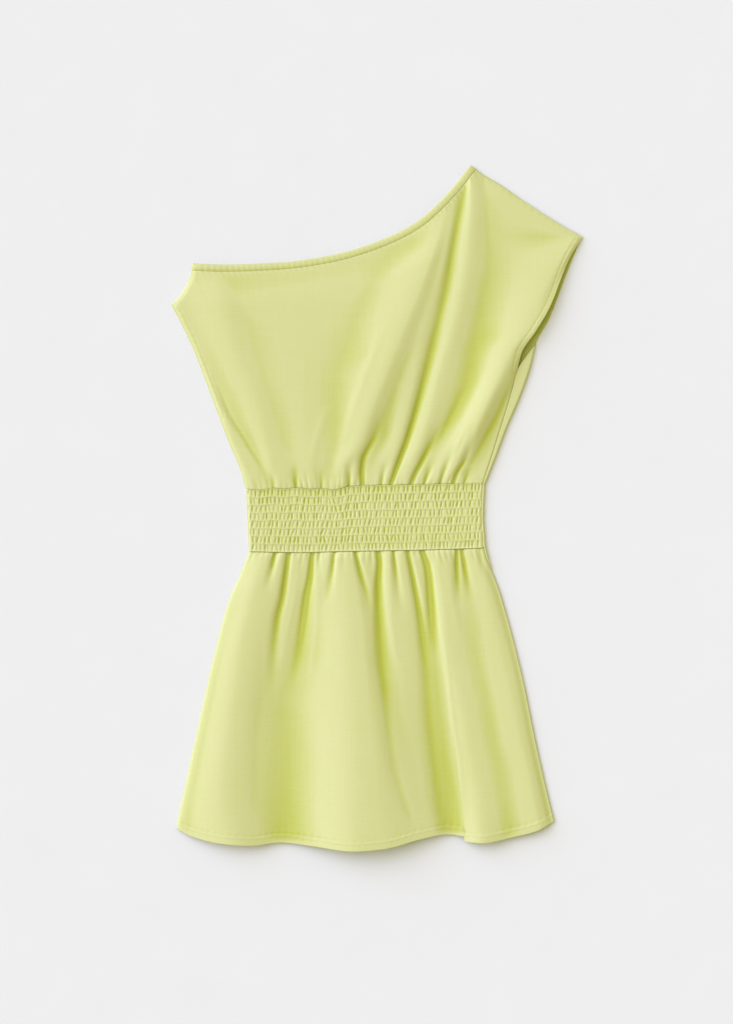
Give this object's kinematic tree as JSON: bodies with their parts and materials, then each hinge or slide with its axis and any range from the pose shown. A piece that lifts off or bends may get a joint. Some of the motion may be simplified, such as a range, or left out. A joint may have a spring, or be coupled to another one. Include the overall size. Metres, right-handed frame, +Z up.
{
  "type": "off-shoulder dress",
  "caption": "Light cloth mini dress laid flat: slanting one-shoulder neckline, draped bodice, smocked elastic waistband and gathered flared skirt with hem flutes",
  "frame": {"origin": "on the surface, under the middle of the dress's bounding box", "axes": "+X to the right as the dress is seen from above, +Y up to the shoulders, +Z up from the surface; the front of the dress faces up"},
  "size_m": [0.5092, 0.85, 0.0223],
  "materials": {
    "dress_cloth": "pale yellow-green plain weave, matt with faint slubs",
    "smocked_cloth": "the same cloth gathered on rows of elastic thread",
    "binding_cloth": "the same cloth folded and topstitched"
  },
  "bodies": {
    "root": {"bodice_front": "dress_cloth", "bodice_back": "dress_cloth", "waistband_front": "smocked_cloth", "waistband_back": "smocked_cloth", "skirt_front": "dress_cloth", "skirt_back": "dress_cloth", "neck_binding_front": "binding_cloth", "neck_binding_back": "binding_cloth"}
  },
  "joints": []
}
